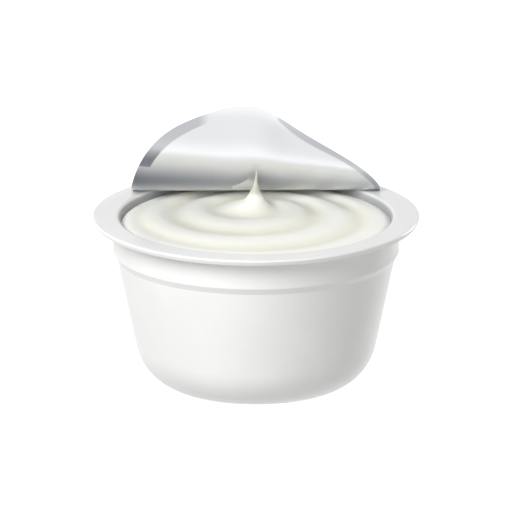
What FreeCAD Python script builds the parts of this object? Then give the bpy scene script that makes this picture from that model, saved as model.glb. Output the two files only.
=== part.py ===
import FreeCAD, Part
import math
import os

# An opened yogurt pot: a thin moulded pot, its yogurt with a spiral swirl and a drawn-out peak,
# and the foil lid, peeled from the front and rolled back over itself.
#
# Millimetres and degrees. +Z is up, the origin is the centre of the underside, the front is -Y.
# The lid stays sealed to the rim behind the peel line, on the +Y side.

# Pot: sizes of the outside, from the rim down
RIM_RADIUS = 47.5  # outer edge of the flange
POT_HEIGHT = 51.0
FLANGE_THICKNESS = 1.0
LIP_DROP = 1.75  # height of the turned-down edge of the flange
LIP_THICKNESS = 0.9
LIP_END = 0.6  # thickness at the lip's lower edge
LIP_EDGE = 0.6  # height of the lip's upright part, above the part that leans in
LIP_LEAN = 28.0  # in degrees from upright
COLLAR_RADIUS = 41.6  # stacking collar under the flange
COLLAR_DROP = 10.4  # from the rim to the collar's lower edge
STEP_DROP = 2.0  # height of the bevel between collar and wall
STEP_WIDTH = 1.2  # how far the bevel goes in
WALL = 1.0  # the collar is thicker, because the step shows only outside
WALL_TAPER = 12.0  # lean of the wall, in degrees from upright
FOOT_RADIUS = 15.5  # large round between wall and base
RIM_ROUND = 0.45
BORE_ROUND = 1.5  # between the flange's top and the inside
BORE_BEND = 12.0  # gentle round where the inside of the wall turns upright
STEP_ROUND = 0.6
LIP_ROUND = 0.25

# Yogurt: its level, its outer edge, the swirl and the peak
FILL_DROP = 1.7  # from the rim to the level of the yogurt
EDGE_WIDTH = 2.4  # rounded border where it turns down to the wall
EDGE_DROP = 1.1
PEAK_X = -0.2
PEAK_Y = 13.5  # the peak stands behind the middle
DRIFT_POWER = 1.5  # how late the outer turns of the swirl move over to the pot's middle
DOME_RISE = 0.6
DOME_SPREAD = 16.0
MOUND_RISE = 2.9
MOUND_SPREAD = 4.6
SWIRL_PITCH = 12.2  # from one ridge to the next
SWIRL_DEPTH = 0.95  # from crest to groove
SWIRL_START = 17.3  # distance of the groove from the peak on the +X side
SWIRL_NARROWING = 1.3  # over 1, the grooves are narrower than the ridges
SWIRL_FADE_IN = 5.0
SWIRL_FADE_OUT = 6.0
SPIRE_FOOT = 1.6  # height on the mound where the spire starts
SPIRE_FOOT_RADIUS = 3.3
SPIRE_TIP = 10.4  # height of the tip over the foot of the mound
SPIRE_TIP_RADIUS = 0.2
SPIRE_POWER = 2.1
SPIRE_LEAN = 0.4  # how far the tip bends to +X
SPIRE_SECTIONS = 7
TOP_STEP = 1.1  # spacing of the points that the top surface goes through

# Lid: a disc of foil, flat behind the peel line and rolled in front of it
LID_INSET = 2.2  # from the flange's edge to the lid's edge
FOIL = 0.2
PEEL_LINE = 27.5  # distance of the fold behind the middle
ROLL_RADIUS_LEFT = 15.8
ROLL_RADIUS_RIGHT = 7.0
CROWN_RISE = 0.8  # the roll stands this much higher over the pull tongue
CROWN_SPREAD = 7.0
CROWN_X = 1.1
EDGE_TURN = 180.0  # how far the free edge turns over, in degrees
EDGE_TOP_X = -0.3
EDGE_BULGE = 0.76
EDGE_FALL = 0.3
EDGE_END = 0.3  # the edge's curve would close this far past each end of the fold
TONGUE_TURN = 33.0  # further turn of the pull tongue, rolled over the back
TONGUE_SPREAD = 10.5
TONGUE_X = 0.2
NUDGE = 0.01  # step for measuring the roll's slopes, in millimetres or degrees
ROLL_COLUMNS = 36
ROLL_ROWS = 26

BORE_RADIUS = COLLAR_RADIUS - STEP_WIDTH - WALL / math.cos(math.radians(WALL_TAPER))
FILL_LEVEL = POT_HEIGHT - FILL_DROP
LID_RADIUS = RIM_RADIUS - LID_INSET
HALF_FOLD = math.sqrt(LID_RADIUS ** 2 - PEEL_LINE ** 2)


def vector(x, y, z):
    return FreeCAD.Vector(x, y, z)


def shifted(line, distance):
    """The line through two (radius, height) points, moved sideways to the left of its direction."""
    (r0, z0), (r1, z1) = line
    length = math.hypot(r1 - r0, z1 - z0)
    across = (-(z1 - z0) * distance / length, (r1 - r0) * distance / length)
    return (r0 + across[0], z0 + across[1]), (r1 + across[0], z1 + across[1])


def meeting(line_a, line_b):
    """The (radius, height) point where two lines cross."""
    (ar, az), (br, bz) = line_a
    (cr, cz), (dr, dz) = line_b
    cross = (br - ar) * (dz - cz) - (bz - az) * (dr - cr)
    share = ((cr - ar) * (dz - cz) - (cz - az) * (dr - cr)) / cross
    return ar + share * (br - ar), az + share * (bz - az)


def rounded_outline(corners):
    """A closed wire in the XZ plane through (radius, height, round) corners, with arcs at the rounds."""
    edges = []
    ends = []
    count = len(corners)
    for index, (r, z, rounding) in enumerate(corners):
        here = vector(r, 0, z)
        before = vector(corners[index - 1][0], 0, corners[index - 1][1]) - here
        after = vector(corners[(index + 1) % count][0], 0, corners[(index + 1) % count][1]) - here
        before.normalize()
        after.normalize()
        if rounding == 0:
            ends.append((here, here))
            continue
        half_angle = before.getAngle(after) / 2
        reach = rounding / math.tan(half_angle)
        middle = before + after
        middle.normalize()
        centre = here + middle * (rounding / math.sin(half_angle))
        start = here + before * reach
        end = here + after * reach
        edges.append(Part.Arc(start, centre - middle * rounding, end).toShape())
        ends.append((start, end))
    for index in range(count):
        edges.append(Part.LineSegment(ends[index - 1][1], ends[index][0]).toShape())
    return Part.Wire(Part.__sortEdges__(edges))


def turned(corners):
    """The solid made by turning an outline once round the Z axis."""
    face = Part.Face(rounded_outline(corners))
    return face.revolve(vector(0, 0, 0), vector(0, 0, 1), 360)


def side_lines():
    """Base, wall, bevel and collar as lines in (radius, height), on the outside."""
    step_top = POT_HEIGHT - COLLAR_DROP
    step_bottom = step_top - STEP_DROP
    wall_radius = COLLAR_RADIUS - STEP_WIDTH
    foot = wall_radius - step_bottom * math.tan(math.radians(WALL_TAPER))
    base = ((0, 0), (foot, 0))
    wall = ((foot, 0), (wall_radius, step_bottom))
    bevel = ((wall_radius, step_bottom), (COLLAR_RADIUS, step_top))
    collar = ((COLLAR_RADIUS, step_top), (COLLAR_RADIUS, POT_HEIGHT))
    return base, wall, bevel, collar


def outside_corners():
    """The corners of the outside, each with its round, from the foot up to the collar."""
    base, wall, bevel, collar = side_lines()
    return [
        (*meeting(base, wall), FOOT_RADIUS),
        (*meeting(wall, bevel), STEP_ROUND),
        (*meeting(bevel, collar), STEP_ROUND),
    ]


def inside_corners():
    """The corners of the inside, which follows the base and the wall and then goes straight up."""
    base, wall = (shifted(line, WALL) for line in side_lines()[:2])
    bore = ((BORE_RADIUS, 0), (BORE_RADIUS, POT_HEIGHT))
    return [(*meeting(base, wall), FOOT_RADIUS - WALL), (*meeting(wall, bore), BORE_BEND)]


def make_pot():
    """One moulded shell: base, tapering wall, step, collar and flange with its turned-down lip."""
    under_flange = POT_HEIGHT - FLANGE_THICKNESS
    lip_bottom = POT_HEIGHT - LIP_DROP
    lip_foot = RIM_RADIUS - (LIP_DROP - LIP_EDGE) * math.tan(math.radians(LIP_LEAN))
    outside = [(0, 0, 0)] + outside_corners()
    flange = [
        (COLLAR_RADIUS, under_flange, LIP_ROUND),
        (RIM_RADIUS - LIP_THICKNESS, under_flange, LIP_ROUND),
        (lip_foot - LIP_END, lip_bottom, LIP_ROUND),
        (lip_foot, lip_bottom, LIP_ROUND),
        (RIM_RADIUS, POT_HEIGHT - LIP_EDGE, LIP_ROUND),
        (RIM_RADIUS, POT_HEIGHT, RIM_ROUND),
        (BORE_RADIUS, POT_HEIGHT, BORE_ROUND),
    ]
    inside = inside_corners()[::-1] + [(0, WALL, 0)]
    return turned(outside + flange + inside)


def swirl_place(x, y):
    """Distance and direction from the swirl's centre, which drifts from the peak to the pot's middle."""
    reach = math.hypot(x - PEAK_X, y - PEAK_Y)
    for _ in range(30):
        drift = 1 - min(reach / BORE_RADIUS, 1) ** DRIFT_POWER
        target = math.hypot(x - PEAK_X * drift, y - PEAK_Y * drift)
        reach += 0.6 * (target - reach)
    drift = 1 - min(reach / BORE_RADIUS, 1) ** DRIFT_POWER
    return reach, math.atan2(y - PEAK_Y * drift, x - PEAK_X * drift)


def smooth_rise(value):
    """0 below 0 and 1 above 1, with a smooth step between."""
    share = min(max(value, 0), 1)
    return share * share * (3 - 2 * share)


def dome_height(reach):
    return FILL_LEVEL + DOME_RISE * math.exp(-(reach / DOME_SPREAD) ** 2)


def yogurt_height(x, y):
    """Height of the yogurt's top: its level, the dome, the mound, the spiral and the rounded border."""
    reach, direction = swirl_place(x, y)
    phase = 2 * math.pi * (reach - SWIRL_START) / SWIRL_PITCH + direction
    groove = (0.5 + 0.5 * math.cos(phase)) ** SWIRL_NARROWING
    fade_in = smooth_rise(reach / SWIRL_FADE_IN)
    fade_out = smooth_rise((BORE_RADIUS - EDGE_WIDTH - reach) / SWIRL_FADE_OUT)
    mound = MOUND_RISE * math.exp(-(reach / MOUND_SPREAD) ** 2)
    from_border = (math.hypot(x, y) - BORE_RADIUS + EDGE_WIDTH) / EDGE_WIDTH
    border = EDGE_DROP * max(from_border, 0) ** 2
    swirl = SWIRL_DEPTH * fade_in * fade_out * (0.5 - groove)
    return dome_height(reach) + mound + swirl - border


def make_spire():
    """The drawn-out peak: round sections that shrink along a line that leans a little."""
    foot = dome_height(0)
    rings = []
    for index in range(SPIRE_SECTIONS):
        share = index / (SPIRE_SECTIONS - 1)
        height = SPIRE_FOOT + share * (SPIRE_TIP - SPIRE_FOOT)
        radius = SPIRE_TIP_RADIUS + (SPIRE_FOOT_RADIUS - SPIRE_TIP_RADIUS) * (1 - share) ** SPIRE_POWER
        centre = vector(PEAK_X + SPIRE_LEAN * share ** 2, PEAK_Y, foot + height)
        rings.append(Part.Wire([Part.Circle(centre, vector(0, 0, 1), radius).toShape()]))
    return Part.makeLoft(rings, True)


def make_yogurt():
    """Everything inside the pot up to the swirled top, which bends down to the wall at its border."""
    half = int(BORE_RADIUS / TOP_STEP) + 2
    places = [TOP_STEP * step for step in range(-half, half + 1)]
    grid = [[vector(x, y, yogurt_height(x, y)) for y in places] for x in places]
    top = Part.BSplineSurface()
    top.interpolate(grid)
    block = top.toShape().extrude(vector(0, 0, -2 * POT_HEIGHT))
    above_peak = POT_HEIGHT + SPIRE_TIP
    hollow = [(0, WALL, 0)] + inside_corners() + [(BORE_RADIUS, above_peak, 0), (0, above_peak, 0)]
    return turned(hollow).common(block).fuse(make_spire()).removeSplitter()


def edge_turn(x):
    """How far round the roll the foil reaches at x, in degrees: its free edge and the pull tongue."""
    side = HALF_FOLD + EDGE_END - (EDGE_TOP_X if x > EDGE_TOP_X else -EDGE_TOP_X)
    share = abs(x - EDGE_TOP_X) / side
    edge = EDGE_TURN * (1 - share ** EDGE_BULGE) ** EDGE_FALL
    return edge + TONGUE_TURN * math.exp(-((x - TONGUE_X) / TONGUE_SPREAD) ** 2)


def roll_radius(x, angle):
    """Radius of the roll: it narrows evenly from left to right, and is a little crowned at the top."""
    share = (x + HALF_FOLD) / (2 * HALF_FOLD)
    crown = CROWN_RISE * math.exp(-((x - CROWN_X) / CROWN_SPREAD) ** 2) * math.sin(angle / 2) ** 2
    return ROLL_RADIUS_LEFT + share * (ROLL_RADIUS_RIGHT - ROLL_RADIUS_LEFT) + crown


def roll_outside(x, turn):
    """A point of the roll's outside at x, turned so many degrees up from the fold."""
    angle = math.radians(turn)
    radius = roll_radius(x, angle)
    return vector(x, PEEL_LINE - radius * math.sin(angle), POT_HEIGHT + radius * (1 - math.cos(angle)))


def roll_point(x, turn, inset):
    """The same point moved into the roll, square to the roll's two slopes there."""
    across = roll_outside(x + NUDGE, turn) - roll_outside(x - NUDGE, turn)
    along = roll_outside(x, turn + NUDGE) - roll_outside(x, turn - NUDGE)
    inward = along.cross(across)
    inward.normalize()
    return roll_outside(x, turn) + inward * inset


def roll_sheet(inset):
    """The rolled foil as one smooth surface, its columns closer together near the two ends."""
    grid = []
    for column in range(ROLL_COLUMNS + 1):
        x = -HALF_FOLD * math.cos(math.pi * column / ROLL_COLUMNS)
        reach = edge_turn(x)
        grid.append([roll_point(x, reach * row / ROLL_ROWS, inset) for row in range(ROLL_ROWS + 1)])
    sheet = Part.BSplineSurface()
    sheet.interpolate(grid)
    return sheet


def make_roll():
    """The peeled foil: two parallel sheets closed by narrow strips along their four edges."""
    silver = roll_sheet(0)
    outer = roll_sheet(FOIL)
    faces = [silver.toShape(), outer.toShape()]
    u0, u1, v0, v1 = silver.bounds()
    p0, p1, q0, q1 = outer.bounds()
    borders = (
        (silver.uIso(u0), outer.uIso(p0)),
        (silver.uIso(u1), outer.uIso(p1)),
        (silver.vIso(v0), outer.vIso(q0)),
        (silver.vIso(v1), outer.vIso(q1)),
    )
    for inner_curve, outer_curve in borders:
        faces.append(Part.makeRuledSurface(inner_curve.toShape(), outer_curve.toShape()))
    shell = Part.Shell(faces)
    shell.sewShape()
    solid = Part.Solid(shell)
    if solid.Volume < 0:
        solid.reverse()
    return solid


def make_lid():
    """The flat part still sealed to the rim, and the roll that grows out of its front edge."""
    left = vector(-HALF_FOLD, PEEL_LINE, POT_HEIGHT)
    right = vector(HALF_FOLD, PEEL_LINE, POT_HEIGHT)
    back = vector(0, LID_RADIUS, POT_HEIGHT)
    outline = Part.Wire([Part.Arc(left, back, right).toShape(), Part.LineSegment(right, left).toShape()])
    flat = Part.Face(outline).extrude(vector(0, 0, FOIL))
    return flat.fuse(make_roll())


def main():
    os.makedirs("parts", exist_ok=True)
    pieces = {"pot": make_pot(), "yogurt": make_yogurt(), "foil_lid": make_lid()}
    for name, shape in pieces.items():
        print(name, shape.ShapeType, len(shape.Solids), shape.isValid(), round(shape.Volume, 1), shape.BoundBox)
        shape.exportStep(f"parts/{name}.step")


main()
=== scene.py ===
"""The looks of an opened yogurt pot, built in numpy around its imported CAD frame.

Three pieces show: a moulded pot, the yogurt with its spiral swirl and drawn-out peak, and the foil
lid, which is peeled from the front and rolled back over itself. Lengths are millimetres until a
mesh is made, and metres from then on.
"""

import logging
import math
from dataclasses import dataclass, field
from enum import Enum
from typing import Any

import bmesh
import bpy
import numpy as np
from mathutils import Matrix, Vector


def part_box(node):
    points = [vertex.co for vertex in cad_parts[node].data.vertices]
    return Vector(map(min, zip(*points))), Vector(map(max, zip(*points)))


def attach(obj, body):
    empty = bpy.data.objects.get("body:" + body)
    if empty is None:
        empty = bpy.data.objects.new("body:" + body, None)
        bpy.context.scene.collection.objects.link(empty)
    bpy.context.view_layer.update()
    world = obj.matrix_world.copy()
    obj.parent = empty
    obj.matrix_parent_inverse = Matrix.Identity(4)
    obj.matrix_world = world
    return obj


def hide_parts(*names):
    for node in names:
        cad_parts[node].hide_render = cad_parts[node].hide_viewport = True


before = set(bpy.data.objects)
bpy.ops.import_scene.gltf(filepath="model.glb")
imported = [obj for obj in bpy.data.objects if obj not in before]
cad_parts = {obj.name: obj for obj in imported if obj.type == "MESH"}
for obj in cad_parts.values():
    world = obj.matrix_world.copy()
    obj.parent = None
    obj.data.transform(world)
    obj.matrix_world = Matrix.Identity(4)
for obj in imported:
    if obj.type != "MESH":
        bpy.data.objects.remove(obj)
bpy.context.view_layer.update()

MM = 0.001
BODY = "root"
WELD_MM = 0.001
SHARP_DEGREES = 40
LINE_END_MM = 0.12

log = logging.getLogger("yogurt_pot")


# ---------------------------------------------------------------- colour and nodes


def linear(hex_colour: str) -> tuple[float, float, float, float]:
    """Turn an sRGB hex value into linear light.

    Args:
        hex_colour: Six hex digits after a hash.

    Returns:
        Linear red, green and blue, and an alpha of 1.
    """
    channels = [int(hex_colour[start : start + 2], 16) / 255 for start in (1, 3, 5)]
    curve = [c / 12.92 if c <= 0.04045 else ((c + 0.055) / 1.055) ** 2.4 for c in channels]
    return curve[0], curve[1], curve[2], 1.0


def add_node(tree: Any, kind: str, settings: dict[str, Any] | None = None, **inputs: Any) -> Any:
    """Add a shader node, with its settings, socket values and links.

    Args:
        tree: The node tree that the node joins.
        kind: Blender's name for the kind of node.
        settings: Attributes of the node itself.
        **inputs: Socket values or links, by socket name with underscores for spaces, or by
            number after "at_". A link is given as the socket that it comes from.

    Returns:
        The new node.
    """
    node = tree.nodes.new(kind)
    for key, value in (settings or {}).items():
        setattr(node, key, value)
    for key, value in inputs.items():
        name = int(key[3:]) if key.startswith("at_") else key.replace("_", " ")
        socket = node.inputs[name]
        if isinstance(value, bpy.types.NodeSocket):
            tree.links.new(value, socket)
        else:
            socket.default_value = value
    return node


def new_material(name: str) -> tuple[Any, Any]:
    """Start an empty node material.

    Args:
        name: The material's plain name.

    Returns:
        The material and its node tree.
    """
    material = bpy.data.materials.new(name)
    material.use_nodes = True
    material.node_tree.nodes.clear()
    return material, material.node_tree


def remap(tree: Any, value: Any, low: float, high: float, to_low: float, to_high: float) -> Any:
    """Carry a value from one range to another, smoothly and clamped.

    Args:
        tree: The node tree.
        value: The socket to read.
        low: Where the range starts.
        high: Where the range ends.
        to_low: The result at the start.
        to_high: The result at the end.

    Returns:
        The result's socket.
    """
    settings = {"interpolation_type": "SMOOTHSTEP"}
    ends = {"at_1": low, "at_2": high, "at_3": to_low, "at_4": to_high}
    return add_node(tree, "ShaderNodeMapRange", settings, at_0=value, **ends).outputs[0]


def grain(
    tree: Any,
    size_mm: float,
    stretch: tuple[float, float, float] = (1, 1, 1),
    detail: float = 3.0,
) -> Any:
    """Noise on the piece's own coordinates, with lumps of a real size.

    Args:
        tree: The node tree.
        size_mm: How wide a lump is.
        stretch: How many times finer the noise is along each axis.
        detail: How many finer octaves it has.

    Returns:
        The noise's value socket.
    """
    place = add_node(tree, "ShaderNodeTexCoord").outputs["Object"]
    mapped = add_node(tree, "ShaderNodeMapping", Vector=place, Scale=stretch).outputs["Vector"]
    noise = add_node(tree, "ShaderNodeTexNoise", Vector=mapped, Scale=1 / (size_mm * MM), Detail=detail)
    return noise.outputs["Fac"]


def bumped(tree: Any, height: Any, depth_mm: float, normal: Any | None = None) -> Any:
    """A bump of a real depth.

    Args:
        tree: The node tree.
        height: The socket that gives the height, from 0 to 1.
        depth_mm: How deep the bump is.
        normal: A bump that this one is laid over.

    Returns:
        The normal's socket.
    """
    links = {"Normal": normal} if normal is not None else {}
    node = add_node(tree, "ShaderNodeBump", Height=height, Distance=depth_mm * MM, **links)
    return node.outputs["Normal"]


def tinted(tree: Any, factor: Any, colour_a: str, colour_b: str) -> Any:
    """A mix of two colours.

    Args:
        tree: The node tree.
        factor: The socket that gives the share of the second colour.
        colour_a: Hex of the first colour.
        colour_b: Hex of the second colour.

    Returns:
        The colour's socket.
    """
    ends = {"at_6": linear(colour_a), "at_7": linear(colour_b)}
    return add_node(tree, "ShaderNodeMix", {"data_type": "RGBA"}, at_0=factor, **ends).outputs[2]


def toned(tree: Any, mark: str, base: Any, tone: str) -> Any:
    """A colour multiplied by a tone, as far as a mark of the mesh says.

    Args:
        tree: The node tree.
        mark: Name of the mark, which is 0 where the base colour stays and 1 where the tone is full.
        base: The base colour's socket.
        tone: Hex of the tone.

    Returns:
        The colour's socket.
    """
    settings = {"data_type": "RGBA", "blend_type": "MULTIPLY"}
    share = marked(tree, mark)
    return add_node(tree, "ShaderNodeMix", settings, at_0=share, at_6=base, at_7=linear(tone)).outputs[2]


def marked(tree: Any, mark: str) -> Any:
    """The socket that reads a mark of the mesh."""
    return add_node(tree, "ShaderNodeAttribute", {"attribute_name": mark}).outputs["Fac"]


def scaled_sum(tree: Any, value: Any, factor: float, other: Any) -> Any:
    """The socket of value x factor + other."""
    settings = {"operation": "MULTIPLY_ADD"}
    return add_node(tree, "ShaderNodeMath", settings, at_0=value, at_1=factor, at_2=other).outputs[0]


# ---------------------------------------------------------------- finishes


@dataclass(frozen=True)
class MouldedPolypropylene:
    """Injection moulded white polypropylene: an even satin skin with a faint mottle.

    Painted shade darkens the opening, and the sealing land is greyer than the polished outside, partly from
    the seal and partly as painted shade on the top face.
    """

    colour: str = "#F5F5F3"
    shade: str = "#F2F3F1"
    bore_shade_grey: str = "#B6B8BC"
    roughness: float = 0.3
    ior: float = 1.49
    mottle_mm: float = 16.0
    mottle_range: tuple[float, float] = (0.35, 0.65)

    def make(self) -> Any:
        """Build the material and return it."""
        material, tree = new_material("white moulded polypropylene")
        mottle = grain(tree, self.mottle_mm)
        white = tinted(tree, remap(tree, mottle, *self.mottle_range, 0, 1), self.colour, self.shade)
        shader = add_node(
            tree,
            "ShaderNodeBsdfPrincipled",
            None,
            # painted shade: darker in the opening, and partly on the sealing land
            Base_Color=toned(tree, "bore_shade_and_seal_land", white, self.bore_shade_grey),
            Roughness=self.roughness,
            IOR=self.ior,
        )
        add_node(tree, "ShaderNodeOutputMaterial", Surface=shader.outputs[0])
        return material


@dataclass(frozen=True)
class StirredYogurt:
    """Thick stirred yogurt: light scatters in the wet gel, and liquid gathered in the grooves smooths them
    and tints them darker, partly as painted groove shade.

    The upper part of the drawn-out peak is darker: painted shade.
    """

    colour: str = "#F8F8F0"
    whey_and_groove_shade: str = "#EBEADA"
    peak_shade_tone: str = "#CBCCC6"
    groove_roughness: float = 0.28
    crest_roughness: float = 0.41
    ior: float = 1.36
    scatter: float = 0.6
    scatter_mm: float = 2.4
    scatter_by_colour: tuple[float, float, float] = (1.0, 0.9, 0.7)
    curd_mm: float = 0.9
    curd_depth_mm: float = 0.03
    fold_mm: float = 5.0
    fold_depth_mm: float = 0.12

    def make(self) -> Any:
        """Build the material and return it."""
        material, tree = new_material("stirred yogurt")
        crest = marked(tree, "crest")
        curd = grain(tree, self.curd_mm)
        fold = grain(tree, self.fold_mm, detail=1.0)
        normal = bumped(tree, curd, self.curd_depth_mm, bumped(tree, fold, self.fold_depth_mm))
        shader = add_node(
            tree,
            "ShaderNodeBsdfPrincipled",
            {"subsurface_method": "RANDOM_WALK"},
            # painted shade: the groove tint is partly painted groove shade
            # painted shade: the second tone darkens the upper peak
            Base_Color=toned(tree, "peak_shade", tinted(tree, crest, self.whey_and_groove_shade, self.colour), self.peak_shade_tone),
            Roughness=remap(tree, crest, 0, 1, self.groove_roughness, self.crest_roughness),
            Subsurface_Weight=self.scatter,
            Subsurface_Radius=self.scatter_by_colour,
            Subsurface_Scale=self.scatter_mm * MM,
            IOR=self.ior,
            Normal=normal,
        )
        add_node(tree, "ShaderNodeOutputMaterial", Surface=shader.outputs[0])
        return material


class FoilFace(Enum):
    """The two faces of lidding foil, with the roughness and colour of each."""

    SEAL = ("lidding foil, seal face", 0.3, "#F1F2F4")
    OUTER = ("lidding foil, outer face", 0.36, "#E9EAEB")


@dataclass(frozen=True)
class LiddingFoil:
    """Rolled aluminium foil with a slight coat of lacquer: a soft mirror with fine lines along the rolling.

    Heat and pressure leave the seal band duller. The zone above the fold is rougher, and its colour is
    darkened as painted shade, standing in for the shaded yogurt that the foil mirrors. The lines are drawn
    coarser than real ones, so that they show.
    """

    face: FoilFace
    band_colour: str = "#CBCDD1"
    fold_shade_colour: str = "#989BA4"
    bent_rougher: float = 0.32
    bent_full: float = 0.35
    sealed_rougher: float = 0.06
    line_rougher: tuple[float, float] = (-0.02, 0.03)
    line_range: tuple[float, float] = (0.3, 0.7)
    line_mm: float = 0.35
    line_stretch: tuple[float, float, float] = (1, 0.02, 0.02)
    line_depth_mm: float = 0.0015
    dent_mm: float = 14.0
    dent_depth_mm: float = 0.015

    def make(self) -> Any:
        """Build the material and return it."""
        name, roughness, colour = self.face.value
        material, tree = new_material(name)
        lines = grain(tree, self.line_mm, stretch=self.line_stretch, detail=2.0)
        dents = grain(tree, self.dent_mm, detail=1.0)
        sealed = marked(tree, "sealed")
        worn = remap(tree, marked(tree, "fold_shade_and_dullness"), 0.0, self.bent_full, 0, 1)
        smoother, rougher = self.line_rougher
        lined = remap(tree, lines, *self.line_range, roughness + smoother, roughness + rougher)
        pressed = scaled_sum(tree, sealed, self.sealed_rougher, lined)
        clean = tinted(tree, sealed, colour, self.band_colour)
        shader = add_node(
            tree,
            "ShaderNodeBsdfPrincipled",
            None,
            # painted shade: the zone above the fold is darkened in colour
            Base_Color=toned(tree, "fold_shade_and_dullness", clean, self.fold_shade_colour),
            Metallic=1.0,
            Roughness=scaled_sum(tree, worn, self.bent_rougher, pressed),
            Normal=bumped(tree, lines, self.line_depth_mm, bumped(tree, dents, self.dent_depth_mm)),
        )
        add_node(tree, "ShaderNodeOutputMaterial", Surface=shader.outputs[0])
        return material


# ---------------------------------------------------------------- meshes


def smooth_step(value: np.ndarray) -> np.ndarray:
    """0 below 0 and 1 above 1, with 3t² - 2t³ between."""
    share = np.clip(value, 0, 1)
    return share * share * (3 - 2 * share)


def bell(value: np.ndarray, middle: float, spread: float) -> np.ndarray:
    """A bell curve that is 1 at the middle: exp(-((value - middle) / spread)²)."""
    return np.exp(-(((value - middle) / spread) ** 2))


def quads(rows: int, columns: int, wrap: bool) -> np.ndarray:
    """Corner numbers of the faces of a grid, whose vertices are counted row by row.

    Args:
        rows: Rows of vertices.
        columns: Vertices in a row.
        wrap: Whether the last column joins the first.

    Returns:
        One row of four vertex numbers for each face.
    """
    last = columns if wrap else columns - 1
    row, column = np.meshgrid(np.arange(rows - 1), np.arange(last), indexing="ij")
    here, beside = row * columns + column, row * columns + (column + 1) % columns
    corners = (here, beside, beside + columns, here + columns)
    return np.stack([corner.ravel() for corner in corners], axis=1)


def closed_mesh(
    name: str,
    points: np.ndarray,
    faces: np.ndarray,
    marks: dict[str, np.ndarray],
    finishes: np.ndarray | None = None,
) -> Any:
    """Make a smooth object in the shared frame, with poles and seams merged and faces outwards.

    The enclosed volume is the sum of a . (b x c) / 6 over the triangles. Where it is negative, every
    face is turned round.

    Args:
        name: The object's name.
        points: Vertex places in millimetres, one row each.
        faces: Four vertex numbers for each face.
        marks: Named values, one for each vertex, that the materials read.
        finishes: The material number of each face, or None where all have the first.

    Returns:
        The object, linked to the scene.
    """
    a, b, c, d = (points[faces[:, corner]] for corner in range(4))
    volume = np.sum(a * (np.cross(b, c) + np.cross(c, d)))
    if volume < 0:
        faces = faces[:, ::-1]
    mesh = bpy.data.meshes.new(name)
    mesh.from_pydata((points * MM).tolist(), [], faces.tolist())
    if finishes is not None:
        mesh.polygons.foreach_set("material_index", finishes.astype(np.int32))
    for key, values in marks.items():
        mesh.attributes.new(key, "FLOAT", "POINT").data.foreach_set("value", values.astype(np.float32))
    piece = bpy.data.objects.new(name, mesh)
    bpy.context.scene.collection.objects.link(piece)
    weld(mesh)
    mesh.polygons.foreach_set("use_smooth", np.ones(len(mesh.polygons), dtype=bool))
    mesh.set_sharp_from_angle(angle=math.radians(SHARP_DEGREES))
    mesh.update()
    return piece


def weld(mesh: Any) -> None:
    """Merge vertices that lie within a thousandth of a millimetre of each other, as at poles and seams."""
    work = bmesh.new()
    work.from_mesh(mesh)
    bmesh.ops.remove_doubles(work, verts=work.verts, dist=WELD_MM * MM)
    work.to_mesh(mesh)
    work.free()


def rounded_profile(corners: np.ndarray, arc_points: int = 13) -> np.ndarray:
    """An outline through corners, with an arc at each round and close loops beside it.

    An arc's centre lies on the corner's bisector, and its points turn evenly between the tangent
    points: centre + (sin((1 - t) w) a + sin(t w) b) / sin w, where a and b are the arms and w is the
    angle between them.

    Args:
        corners: Rows of radius, height and round, from one end to the other.
        arc_points: Points on each arc.

    Returns:
        Rows of radius and height.
    """
    here, before, after = corners[1:-1, :2], corners[:-2, :2], corners[2:, :2]
    back = (before - here) / np.linalg.norm(before - here, axis=1, keepdims=True)
    on = (after - here) / np.linalg.norm(after - here, axis=1, keepdims=True)
    half = np.arccos(np.clip(np.sum(back * on, axis=1), -1, 1))[:, None] / 2
    rounding = corners[1:-1, 2:3]
    middle = (back + on) / np.linalg.norm(back + on, axis=1, keepdims=True)
    centre = here + middle * rounding / np.sin(half)
    arm_a = here + back * rounding / np.tan(half) - centre
    arm_b = here + on * rounding / np.tan(half) - centre
    turn = (math.pi - 2 * half)[:, None, :]
    share = np.linspace(0, 1, arc_points)[None, :, None]
    weight_a, weight_b = np.sin((1 - share) * turn), np.sin(share * turn)
    arcs = centre[:, None] + (weight_a * arm_a[:, None] + weight_b * arm_b[:, None]) / np.sin(turn)
    starts = np.vstack([corners[:1, :2], arcs[:, -1]])
    ends = np.vstack([arcs[:, 0], corners[-1:, :2]])
    pieces = []
    for index, (start, end) in enumerate(zip(starts, ends)):
        near = min(LINE_END_MM / np.linalg.norm(end - start), 0.2)
        along = np.array([0, near, 0.25, 0.5, 0.75, 1 - near, 1])[:, None]
        pieces.append(start + along * (end - start))
        if index < len(arcs):
            pieces.append(arcs[index, 1:-1])
    return np.vstack(pieces)


def lathe(profile: np.ndarray, columns: int) -> tuple[np.ndarray, np.ndarray]:
    """Turn a profile about Z: x = r cos t, y = r sin t, z = height.

    Args:
        profile: Rows of radius and height.
        columns: Points round a turn.

    Returns:
        The vertices and the faces.
    """
    turn = np.linspace(0, 2 * math.pi, columns, endpoint=False)
    radius, height = profile[:, :1], profile[:, 1:]
    grid = np.stack([radius * np.cos(turn), radius * np.sin(turn), height + 0 * turn], axis=-1)
    return grid.reshape(-1, 3), quads(len(profile), columns, True)


# ---------------------------------------------------------------- the pot


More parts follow.
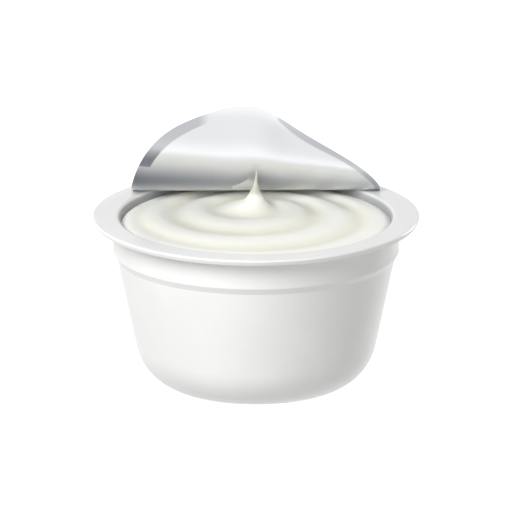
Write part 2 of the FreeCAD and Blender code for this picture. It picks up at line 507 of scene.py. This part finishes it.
@dataclass
class Pot:
    """The moulded pot: base, tapering wall, step, collar and a flange with a turned-down lip."""

    rim_radius: float
    height: float
    flange: float = 1.0
    lip_drop: float = 1.75
    lip: float = 0.9
    lip_end: float = 0.6
    lip_edge: float = 0.6
    lip_lean: float = 28.0
    collar_radius: float = 41.6
    collar_drop: float = 10.4
    step_drop: float = 2.0
    step_width: float = 1.2
    wall: float = 1.0
    taper: float = 12.0
    foot_radius: float = 15.5
    rim_round: float = 0.45
    bore_round: float = 1.5
    bore_bend: float = 12.0
    step_round: float = 0.6
    lip_round: float = 0.25
    land_share: float = 0.28
    land_blur: float = 0.2
    columns: int = 320
    finish: MouldedPolypropylene = field(default_factory=MouldedPolypropylene)

    @property
    def inner_radius(self) -> float:
        """Radius of the opening: the step shows only outside, so the inside goes straight up."""
        return self.collar_radius - self.step_width - self.wall / math.cos(math.radians(self.taper))

    def ends(self) -> np.ndarray:
        """Ends of the straight runs of the outside: base, wall, bevel and collar, as radius and height."""
        step_top = self.height - self.collar_drop
        step_bottom = step_top - self.step_drop
        wall_top = self.collar_radius - self.step_width
        foot = wall_top - step_bottom * math.tan(math.radians(self.taper))
        collar = self.collar_radius
        up_to_step = [[0, 0], [foot, 0], [wall_top, step_bottom]]
        return np.array([*up_to_step, [collar, step_top], [collar, self.height]])

    def outside(self) -> np.ndarray:
        """Corners of the outside with their rounds, from the foot up to the collar."""
        rounds = [[self.foot_radius], [self.step_round], [self.step_round]]
        return np.hstack([self.ends()[1:-1], np.array(rounds)])

    def inside(self, sink: float = 0.0) -> np.ndarray:
        """Corners of the inside with their rounds: base and wall moved in, then straight up.

        Args:
            sink: How far the outline lies inside the moulding, for what fills the pot.

        Returns:
            Rows of radius, height and round, from the foot up.
        """
        inset = self.wall - sink
        slope = math.tan(math.radians(self.taper))
        start = self.ends()[1, 0] - inset / math.cos(math.radians(self.taper))
        bore = self.inner_radius + sink
        foot = [start + inset * slope, inset, self.foot_radius - inset]
        return np.array([foot, [bore, (bore - start) / slope, self.bore_bend]])

    def corners(self) -> np.ndarray:
        """The whole section, from the underside's centre over the rim to the inside's centre."""
        under = self.height - self.flange
        lip_bottom = self.height - self.lip_drop
        lip_foot = self.rim_radius - (self.lip_drop - self.lip_edge) * math.tan(math.radians(self.lip_lean))
        rim = [
            [self.collar_radius, under, self.lip_round],
            [self.rim_radius - self.lip, under, self.lip_round],
            [lip_foot - self.lip_end, lip_bottom, self.lip_round],
            [lip_foot, lip_bottom, self.lip_round],
            [self.rim_radius, self.height - self.lip_edge, self.lip_round],
            [self.rim_radius, self.height, self.rim_round],
            [self.inner_radius, self.height, self.bore_round],
        ]
        return np.vstack([[[0, 0, 0]], self.outside(), rim, self.inside()[::-1], [[0, self.wall, 0]]])

    def build(self) -> Any:
        """Make the pot and return it.

        The painted shade mark is full in the opening, where a darker tone stands in for the bore's shade,
        and part of it lies on the matt land where the lid
        was sealed: partly seal residue, partly painted shade that dims the top face.
        """
        points, faces = lathe(rounded_profile(self.corners()), self.columns)
        reach = self.inner_radius + self.bore_round / 2 - np.hypot(points[:, 0], points[:, 1])
        above = points[:, 2] - self.height + self.collar_drop
        # painted shade inside the opening
        inside = smooth_step(reach / (self.bore_round / 2)) * smooth_step(above)
        # the sealing land: partly seal residue, partly painted shade dimming the top face
        land = self.land_share * smooth_step((points[:, 2] - self.height + self.land_blur) / self.land_blur)
        piece = closed_mesh("moulded_pot", points, faces, {"bore_shade_and_seal_land": np.maximum(inside, land)})
        piece.data.materials.append(self.finish.make())
        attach(piece, BODY)
        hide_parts("pot")
        return piece


# ---------------------------------------------------------------- the yogurt


@dataclass
class Yogurt:
    """The fill: its level, a spiral swirl about an off-centre peak, and a border that turns down."""

    pot: Pot
    fill_drop: float = 1.7
    edge_width: float = 2.4
    edge_drop: float = 1.1
    peak_x: float = -0.2
    peak_y: float = 13.5
    drift_power: float = 1.5
    dome_rise: float = 0.6
    dome_spread: float = 16.0
    mound_rise: float = 2.9
    mound_spread: float = 4.6
    swirl_pitch: float = 12.2
    swirl_depth: float = 0.95
    swirl_start: float = 17.3
    swirl_narrowing: float = 1.3
    fade_in: float = 5.0
    fade_out: float = 6.0
    spire_foot: float = 1.6
    spire_foot_radius: float = 3.3
    spire_tip: float = 10.4
    spire_tip_radius: float = 0.2
    spire_power: float = 2.1
    spire_lean: float = 0.4
    blend: float = 0.25
    whey_share: float = 0.72
    groove_shade_lean: float = 0.5
    peak_shade_from: float = 2.6
    peak_shade_blur: float = 2.2
    columns: int = 320
    rows: int = 250
    into_wall: float = 0.05
    into_wall_power: int = 8
    tuck: float = 0.5
    tip_steps: int = 40
    fine_rows: int = 6000
    finish: StirredYogurt = field(default_factory=StirredYogurt)

    def centre_height(self, reach: np.ndarray) -> np.ndarray:
        """Height over the dome's foot, without the swirl: the mound and the spire that grows out of it.

        The mound is a bell, and the spire's radius shrinks as a power of the height, so its height
        is 1 - (r)^(1 / power) of the way up. The two are joined by a smooth maximum,
        (a + b + sqrt((a - b)² + k²)) / 2.

        Args:
            reach: Distance from the swirl's centre.

        Returns:
            Height over the dome.
        """
        mound = self.mound_rise * bell(reach, 0, self.mound_spread)
        width = (reach - self.spire_tip_radius) / (self.spire_foot_radius - self.spire_tip_radius)
        rise = 1 - np.clip(width, 0, None) ** (1 / self.spire_power)
        spire = self.spire_foot + rise * (self.spire_tip - self.spire_foot)
        return (mound + spire + np.sqrt((mound - spire) ** 2 + self.blend**2)) / 2

    def reaches(self) -> np.ndarray:
        """Distances of the rows from the peak, spaced evenly along the surface from tip to border."""
        first = self.spire_tip_radius / self.tip_steps
        fine = np.concatenate([[0], np.geomspace(first, self.pot.inner_radius, self.fine_rows)])
        height = self.centre_height(fine)
        cap = self.spire_tip_radius * np.sqrt(np.clip(1 - (fine / self.spire_tip_radius) ** 2, 0, 1))
        path = np.concatenate([[0], np.cumsum(np.hypot(np.diff(fine), np.diff(height + cap)))])
        return np.interp(np.linspace(0, path[-1], self.rows), path, fine)

    def build(self) -> Any:
        """Make the yogurt and return it.

        A row lies at distance s from a centre that drifts from the peak to the pot's middle as
        1 - (s / R)^power. The swirl's phase is 2 pi (s - start) / pitch plus the direction, which
        makes one spiral groove that widens by a pitch each turn.
        """
        pot = self.pot
        border = pot.inner_radius + self.into_wall
        reach = self.reaches()[:, None]
        turn = np.linspace(0, 2 * math.pi, self.columns, endpoint=False)[None, :]
        drift = 1 - (reach / pot.inner_radius) ** self.drift_power
        stretch = 1 + self.into_wall / pot.inner_radius * (reach / pot.inner_radius) ** self.into_wall_power
        x = self.peak_x * drift + reach * stretch * np.cos(turn)
        y = self.peak_y * drift + reach * stretch * np.sin(turn)
        phase = 2 * math.pi * (reach - self.swirl_start) / self.swirl_pitch + turn
        groove = (0.5 + 0.5 * np.cos(phase)) ** self.swirl_narrowing
        fade = smooth_step(reach / self.fade_in)
        fade = fade * smooth_step((pot.inner_radius - self.edge_width - reach) / self.fade_out)
        dome = self.dome_rise * bell(reach, 0, self.dome_spread)
        rise = self.centre_height(reach)
        cap = np.sqrt(np.clip(1 - (reach / self.spire_tip_radius) ** 2, 0, 1)) * self.spire_tip_radius
        out = (np.hypot(x, y) - pot.inner_radius + self.edge_width) / self.edge_width
        z = pot.height - self.fill_drop + dome + rise + self.swirl_depth * fade * (0.5 - groove)
        z = z + cap - self.edge_drop * np.clip(out, 0, None) ** 2
        share = np.clip((rise - self.spire_foot) / (self.spire_tip - self.spire_foot), 0, 1)
        x = x + self.spire_lean * share**2
        top = np.stack([x, y, z], axis=-1)
        # painted shade: the darker groove tint is partly painted groove shade, and it weakens towards the
        # back to offset the back grooves that the light already darkens
        crest = 1 - groove * fade * np.clip(self.whey_share - self.groove_shade_lean * y / pot.inner_radius, 0, 1)
        under_side = self.under_side(border)
        below, _ = lathe(under_side, self.columns)
        points = np.vstack([top.reshape(-1, 3), below])
        # painted shade on the upper part of the peak
        peak_shade = smooth_step((rise - self.peak_shade_from) / self.peak_shade_blur) + 0 * x
        marks = {
            "crest": np.concatenate([crest.ravel(), np.ones(len(below))]),
            "peak_shade": np.concatenate([peak_shade.ravel(), np.zeros(len(below))]),
        }
        faces = quads(self.rows + len(under_side), self.columns, True)
        piece = closed_mesh("swirled_yogurt", points, faces, marks)
        piece.data.materials.append(self.finish.make())
        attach(piece, BODY)
        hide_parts("yogurt")
        return piece

    def under_side(self, border: float) -> np.ndarray:
        """The hidden side and bottom, along the inside of the pot, from the border to the middle."""
        top = [[border, self.pot.height - self.fill_drop - self.edge_drop - self.tuck, 0]]
        bottom = [[0, self.pot.wall - self.into_wall, 0]]
        side = self.pot.inside(self.into_wall)[::-1]
        return rounded_profile(np.vstack([top, side, bottom]), arc_points=7)


# ---------------------------------------------------------------- the lid


@dataclass
class FoilLid:
    """The foil lid: a flat part sealed to the rim, and a roll that narrows from left to right."""

    pot: Pot
    inset: float = 2.2
    foil: float = 0.2
    peel_line: float = 27.5
    roll_left: float = 15.8
    roll_right: float = 7.0
    crown_rise: float = 0.8
    crown_spread: float = 7.0
    crown_x: float = 1.1
    edge_turn: float = 180.0
    edge_top: float = -0.3
    edge_bulge: float = 0.76
    edge_fall: float = 0.3
    edge_end: float = 0.3
    tongue_turn: float = 33.0
    tongue_spread: float = 10.5
    tongue_x: float = 0.2
    band: float = 3.1
    band_narrowing: float = 0.55
    band_start: float = 72.0
    band_start_blur: float = 1.5
    band_blur: float = 0.4
    narrowing_from: float = 6.0
    narrowing_blur: float = 22.0
    tongue_from: float = -17.0
    tongue_to: float = 6.0
    tongue_from_blur: float = 4.0
    fold_shade_angle: float = 52.0
    fold_shade_spread: float = 22.0
    fold_shade_fall: float = 0.76
    crease: float = 82.0
    crease_spread: float = 10.0
    left_band_shade_share: float = 0.62
    peak_reflection_width: float = 7.5
    peak_reflection_low: float = 42.7
    peak_reflection_high: float = 74.1
    peak_reflection_power: float = 1.3
    peak_reflection_blur: float = 3.0
    peak_reflection_tip: float = 0.1
    peak_reflection_side: float = 0.3
    band_tilt: float = 7.0
    band_round: float = 0.9
    tilt_fade: float = 9.0
    wave_mm: float = 0.1
    wave_fade: float = 8.0
    wave_lengths: tuple[float, float, float, float] = (5.3, 7.1, 8.7, 4.9)
    wave_shift: float = 1.3
    columns: int = 300
    flat_rows: int = 10
    roll_rows: int = 150
    edge_points: int = 1600
    side_points: int = 80

    def radius(self, x: np.ndarray, angle: np.ndarray) -> np.ndarray:
        """Radius of the roll: it narrows evenly from left to right, and a bell crowns it at the top."""
        crown = self.crown_rise * bell(x, self.crown_x, self.crown_spread) * np.sin(angle / 2) ** 2
        share = (x + self.half_fold) / (2 * self.half_fold)
        return self.roll_left + share * (self.roll_right - self.roll_left) + crown

    @property
    def lid_radius(self) -> float:
        """Radius of the lid's disc."""
        return self.pot.rim_radius - self.inset

    @property
    def half_fold(self) -> float:
        """Half the length of the fold."""
        return math.sqrt(self.lid_radius**2 - self.peel_line**2)

    def edge_angle(self, x: np.ndarray) -> np.ndarray:
        """How far round the roll the free edge lies, in radians.

        turn (1 - t^bulge)^fall, with t the share of the way from the top to an end, plus a bell for
        the pull tongue that rolls over the back.

        Args:
            x: Places along the fold.

        Returns:
            The angle at each.
        """
        side = self.half_fold + self.edge_end - np.where(x > self.edge_top, self.edge_top, -self.edge_top)
        share = np.abs(x - self.edge_top) / side
        edge = self.edge_turn * (1 - share**self.edge_bulge) ** self.edge_fall
        return np.radians(edge + self.tongue_turn * bell(x, self.tongue_x, self.tongue_spread))

    def on_roll(self, x: np.ndarray, angle: np.ndarray) -> np.ndarray:
        """Points of the roll's outside: y = fold - r sin a, z = rim + r (1 - cos a)."""
        radius = self.radius(x, angle)
        y = self.peel_line - radius * np.sin(angle)
        return np.stack([x + 0 * angle, y, self.pot.height + radius * (1 - np.cos(angle))], axis=-1)

    def edge_distance(self, sheet: np.ndarray) -> np.ndarray:
        """Distance of each point of the roll from its free edge, column by column.

        Args:
            sheet: The roll's points, columns by rows by 3.

        Returns:
            Distances, columns by rows.
        """
        x = -self.half_fold * np.cos(np.linspace(0, math.pi, self.edge_points))
        top = self.on_roll(x, self.edge_angle(x))
        ends = np.array([[-self.half_fold], [self.half_fold]])
        up = np.linspace(0, 1, self.side_points)[None, :]
        sides = self.on_roll(ends, self.edge_angle(ends) * up).reshape(-1, 3)
        edge = np.vstack([top, sides])
        squares = [np.min(np.sum((column[:, None] - edge) ** 2, axis=-1), axis=1) for column in sheet]
        return np.sqrt(np.stack(squares))

    def sheet(self) -> tuple[np.ndarray, dict[str, np.ndarray]]:
        """The seal face's points, and what the finish reads at each.

        Returns:
            Points, columns by rows by 3, and two marks, columns by rows: "sealed" is the share of the
            seal band, and the other mark grows towards the fold, where it darkens the colour as painted
            shade and makes the foil rougher.
        """
        x = -self.half_fold * np.cos(np.linspace(0, math.pi, self.columns))[:, None]
        back = np.sqrt(np.clip(self.lid_radius**2 - x**2, self.peel_line**2, None))
        share = np.linspace(1, 0, self.flat_rows)[None, :-1]
        y = self.peel_line + share * (back - self.peel_line)
        flat = np.stack([x + 0 * y, y, 0 * y + self.pot.height], axis=-1)
        angle = self.edge_angle(x) * np.linspace(0, 1, self.roll_rows)[None, :]
        roll = self.on_roll(x, angle)
        distance = self.edge_distance(roll)
        away = self.radius(x, angle) * angle
        narrowing = smooth_step((x - self.narrowing_from) / self.narrowing_blur)
        width = self.band * (1 - self.band_narrowing * narrowing)
        reach = width - distance
        lift = (reach + np.sqrt(reach**2 + self.band_round**2)) / 2 * math.tan(math.radians(self.band_tilt))
        lift = lift * smooth_step(away / self.tilt_fade)
        along, around, along_too, around_too = self.wave_lengths
        ripple = np.sin(x / along + away / around)
        ripple = ripple + np.sin(x / along_too - away / around_too + self.wave_shift)
        wave = self.wave_mm * smooth_step(away / self.wave_fade) * (1 + ripple / 2)
        roll = roll + self.normals(roll) * (wave + lift)[:, :, None]
        turned = np.degrees(angle)
        sealed = self.sealed(x, turned, reach)
        marks = {
            "sealed": np.concatenate([np.zeros_like(y), sealed], axis=1),
            # painted shade above the fold, which also makes the foil rougher
            "fold_shade_and_dullness": np.concatenate([np.zeros_like(y), self.fold_shade_and_dullness(x, turned, sealed)], axis=1),
        }
        return np.concatenate([flat, roll], axis=1), marks

    def sealed(self, x: np.ndarray, turned: np.ndarray, reach: np.ndarray) -> np.ndarray:
        """Share of the seal band: along the free edge, but not low on the left or on the tongue.

        Args:
            x: Places along the fold.
            turned: Degrees round the roll.
            reach: How far each point lies inside the band.

        Returns:
            1 on the band and 0 off it, with soft edges.
        """
        started = smooth_step((turned - self.band_start) / self.band_start_blur)
        started = np.where(x < self.edge_top, started, 1)
        on_tongue = smooth_step((x - self.tongue_from) / self.tongue_from_blur)
        on_tongue = on_tongue * smooth_step(self.tongue_to - x + 1)
        return smooth_step(reach / self.band_blur + 0.5) * started * (1 - on_tongue)

    def fold_shade_and_dullness(self, x: np.ndarray, turned: np.ndarray, sealed: np.ndarray) -> np.ndarray:
        """Painted shade and roughness: a wide bell round the fold, stronger on the left, with a painted
        reflection of the peak kept out, and a narrow painted darker strip on the left of the band.

        Args:
            x: Places along the fold.
            turned: Degrees round the roll.
            sealed: Share of the seal band.

        Returns:
            Shares from 0 to 1.
        """
        across = (x + self.half_fold) / (2 * self.half_fold)
        # painted shade: a bell round the fold, darker on the left than on the right
        fold = bell(turned, self.fold_shade_angle, self.fold_shade_spread) * (1 - self.fold_shade_fall * across)
        # painted shade: a narrow darker strip on the left of the band
        left_band_shade = bell(turned, self.crease, self.crease_spread) * sealed * (x < self.edge_top)
        # painted reflection: the peak's fin is kept out of the painted fold shade
        return np.clip(fold * (1 - self.painted_peak_reflection(x, turned)) + self.left_band_shade_share * left_band_shade, 0, 1)

    def painted_peak_reflection(self, x: np.ndarray, turned: np.ndarray) -> np.ndarray:
        """A painted reflection of the peak: a bright fin beside it, kept out of the painted fold shade.

        Its upper edge rises as low + (high - low) t^power, with t the share of the way from its tip on
        the left to the peak.

        Args:
            x: Places along the fold.
            turned: Degrees round the roll.

        Returns:
            1 inside and 0 outside, with a soft edge.
        """
        share = np.clip((x - self.tongue_x) / self.peak_reflection_width + 1, 0, 1)
        top = self.peak_reflection_low + (self.peak_reflection_high - self.peak_reflection_low) * share**self.peak_reflection_power
        beside = smooth_step(share / self.peak_reflection_tip)
        beside = beside * smooth_step((self.tongue_x - x) / self.peak_reflection_side + 1)
        return beside * smooth_step((top - turned) / self.peak_reflection_blur)

    @staticmethod
    def normals(sheet: np.ndarray) -> np.ndarray:
        """Unit normals towards the inside of the roll: the cross product of the grid's two slopes."""
        along_columns = np.gradient(sheet, axis=0)
        along_rows = np.gradient(sheet, axis=1)
        cross = np.cross(along_rows, along_columns)
        return cross / np.maximum(np.linalg.norm(cross, axis=-1, keepdims=True), 1e-9)

    def build(self) -> Any:
        """Make the lid and return it: the seal face, the outer face and the strips between them."""
        seal, shares = self.sheet()
        inward = self.normals(seal)
        inward[:, : self.flat_rows] = (0, 0, 1)
        outer = seal + inward * self.foil
        columns, rows = seal.shape[:2]
        ring = np.concatenate([seal, outer[:, ::-1]], axis=1)
        marks = {key: np.concatenate([value, 0 * value], axis=1).ravel() for key, value in shares.items()}
        faces = quads(columns, 2 * rows, True)
        sides = np.tile(np.arange(2 * rows) >= rows, columns - 1)
        front = np.arange(rows - 1)
        cap = np.stack([front, front + 1, 2 * rows - 2 - front, 2 * rows - 1 - front], axis=1)
        faces = np.vstack([faces, cap[:, ::-1], cap + (columns - 1) * 2 * rows])
        sides = np.concatenate([sides, np.zeros(2 * len(cap), dtype=bool)])
        piece = closed_mesh("foil_lid_sheet", ring.reshape(-1, 3), faces, marks, sides)
        for face in FoilFace:
            piece.data.materials.append(LiddingFoil(face).make())
        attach(piece, BODY)
        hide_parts("foil_lid")
        return piece


# ---------------------------------------------------------------- the studio


@dataclass(frozen=True)
class SoftBox:
    """A round area light that looks at the pot."""

    name: str
    azimuth: float
    elevation: float
    distance: float
    size: float
    power: float


@dataclass
class Studio:
    """A plain white table, soft light and a camera a little above the rim.

    The boxes light only the matt pieces. The foil mirrors a tent: the sky with its sides brightened.
    """

    view_width: float = 148.75
    view_elevation: float = 16.2
    aim_height: float = 38.65
    camera_distance: float = 900.0
    camera_clip_m: float = 20.0
    floor_radius: float = 6000.0
    floor_columns: int = 96
    floor_colour: str = "#F6F6F6"
    floor_roughness: float = 0.8
    floor_glow: float = 0.8
    strip_front: float = 1.14
    strip_top: float = 0.95
    strip_back: float = 1.08
    strip_edge: tuple[float, float] = (0.1, 0.38)
    front_edge: tuple[float, float] = (-1.0, -0.84)
    back_edge: tuple[float, float] = (0.2, 0.8)
    side_low: float = 0.45
    side_high: float = 0.2
    side_rise: tuple[float, float] = (0.0, 0.6)
    horizon: tuple[float, float] = (-0.1, 0.05)
    from_below: float = 0.56
    tent_side: float = 0.62
    tent_edge: tuple[float, float] = (0.35, 0.95)
    boxes: tuple[SoftBox, ...] = (
        SoftBox("key box", -36, 36, 520, 340, 2.2),
        SoftBox("rim box", 135, 16, 460, 120, 0.7),
        SoftBox("left rim box", -140, 16, 460, 120, 0.25),
    )
    matt_pieces: tuple[Any, ...] = ()

    def place(self, azimuth: float, elevation: float, distance: float) -> Vector:
        """The point at an azimuth from the front, an elevation and a distance from the aim."""
        a, e = math.radians(azimuth), math.radians(elevation)
        aim = Vector((0, 0, self.aim_height))
        way = Vector((math.sin(a) * math.cos(e), -math.cos(a) * math.cos(e), math.sin(e)))
        return (aim + distance * way) * MM

    def aimed(self, thing: Any, azimuth: float, elevation: float, distance: float) -> None:
        """Put a light or a camera at a place and turn it to the pot."""
        thing.location = self.place(azimuth, elevation, distance)
        aim = Vector((0, 0, self.aim_height * MM))
        thing.rotation_euler = (aim - thing.location).to_track_quat("-Z", "Y").to_euler()
        bpy.context.scene.collection.objects.link(thing)

    def floor(self) -> None:
        """The white table: matt, and a little luminous like a lit sweep."""
        turn = np.linspace(0, 2 * math.pi, self.floor_columns, endpoint=False)
        ring = np.stack([np.cos(turn), np.sin(turn), 0 * turn], axis=1) * self.floor_radius * MM
        mesh = bpy.data.meshes.new("table")
        mesh.from_pydata(ring.tolist(), [], [list(range(len(ring)))])
        table = bpy.data.objects.new("table", mesh)
        bpy.context.scene.collection.objects.link(table)
        material, tree = new_material("white table laminate")
        shader = add_node(
            tree,
            "ShaderNodeBsdfPrincipled",
            None,
            Base_Color=linear(self.floor_colour),
            Roughness=self.floor_roughness,
            Emission_Color=linear("#FFFFFF"),
            Emission_Strength=self.floor_glow,
        )
        add_node(tree, "ShaderNodeOutputMaterial", Surface=shader.outputs[0])
        mesh.materials.append(material)
        table.visible_diffuse = False

    def lights(self) -> None:
        """The soft boxes, which light the matt pieces only, and the sky."""
        shone_on = bpy.data.collections.new("pieces that the boxes light")
        for piece in self.matt_pieces:
            shone_on.objects.link(piece)
        for box in self.boxes:
            data = bpy.data.lights.new(box.name, "AREA")
            data.shape = "DISK"
            data.size = box.size * MM
            data.energy = box.power
            light = bpy.data.objects.new(box.name, data)
            light.light_linking.receiver_collection = shone_on
            self.aimed(light, box.azimuth, box.elevation, box.distance)
        self.sky()

    def sky(self) -> None:
        """A pale sky: bright from front to back, dimmer at the sides.

        Reflections see its sides brightened, as in a tent, and the camera sees plain white.
        """
        world = bpy.data.worlds.new("studio")
        bpy.context.scene.world = world
        world.use_nodes = True
        tree = world.node_tree
        tree.nodes.clear()
        direction = add_node(tree, "ShaderNodeTexCoord").outputs["Generated"]
        parts = add_node(tree, "ShaderNodeSeparateXYZ", None, Vector=direction).outputs
        sideways = add_node(tree, "ShaderNodeMath", {"operation": "ABSOLUTE"}, at_0=parts["X"]).outputs[0]
        in_strip = remap(tree, sideways, *self.strip_edge, 1, 0)
        front = remap(tree, parts["Y"], *self.front_edge, self.strip_front, self.strip_top)
        back = remap(tree, parts["Y"], *self.back_edge, 0, self.strip_back - self.strip_top)
        strip = add_node(tree, "ShaderNodeMath", {"operation": "ADD"}, at_0=front, at_1=back).outputs[0]
        side = remap(tree, parts["Z"], *self.side_rise, self.side_low, self.side_high)
        dome = add_node(tree, "ShaderNodeMix", None, Factor=in_strip, A=side, B=strip).outputs[0]
        above = remap(tree, parts["Z"], *self.horizon, 0, 1)
        lit = add_node(tree, "ShaderNodeMix", None, Factor=above, A=self.from_below, B=dome).outputs[0]
        in_tent = remap(tree, sideways, *self.tent_edge, 1, 0)
        tent = add_node(tree, "ShaderNodeMix", None, Factor=in_tent, A=self.tent_side, B=strip).outputs[0]
        path = add_node(tree, "ShaderNodeLightPath").outputs
        mirrored, seen = path["Is Glossy Ray"], path["Is Camera Ray"]
        around = add_node(tree, "ShaderNodeMix", None, Factor=mirrored, A=lit, B=tent).outputs[0]
        strength = add_node(tree, "ShaderNodeMix", None, Factor=seen, A=around, B=1.0).outputs[0]
        sky = add_node(tree, "ShaderNodeBackground", None, Color=linear("#FFFFFF"), Strength=strength)
        add_node(tree, "ShaderNodeOutputWorld", Surface=sky.outputs[0])

    def camera(self) -> None:
        """A parallel view, from the front and a little above."""
        data = bpy.data.cameras.new("camera")
        data.type = "ORTHO"
        data.ortho_scale = self.view_width * MM
        data.clip_end = self.camera_clip_m
        camera = bpy.data.objects.new("camera", data)
        self.aimed(camera, 0, self.view_elevation, self.camera_distance)
        bpy.context.scene.camera = camera

    def build(self) -> None:
        """Set up the table, the lights, the camera and the plain view transform."""
        self.floor()
        self.lights()
        self.camera()
        bpy.context.scene.view_settings.view_transform = "Standard"


def main() -> None:
    logging.basicConfig(level=logging.INFO, format="%(message)s")
    low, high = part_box("pot")
    pot = Pot(rim_radius=(high[0] - low[0]) / 2 / MM, height=(high[2] - low[2]) / MM)
    pieces = [builder.build() for builder in (pot, Yogurt(pot), FoilLid(pot))]
    for piece in pieces:
        log.info("%s: %d faces", piece.name, len(piece.data.polygons))
    Studio(matt_pieces=tuple(pieces[:2])).build()


if __name__ == "__main__":
    main()
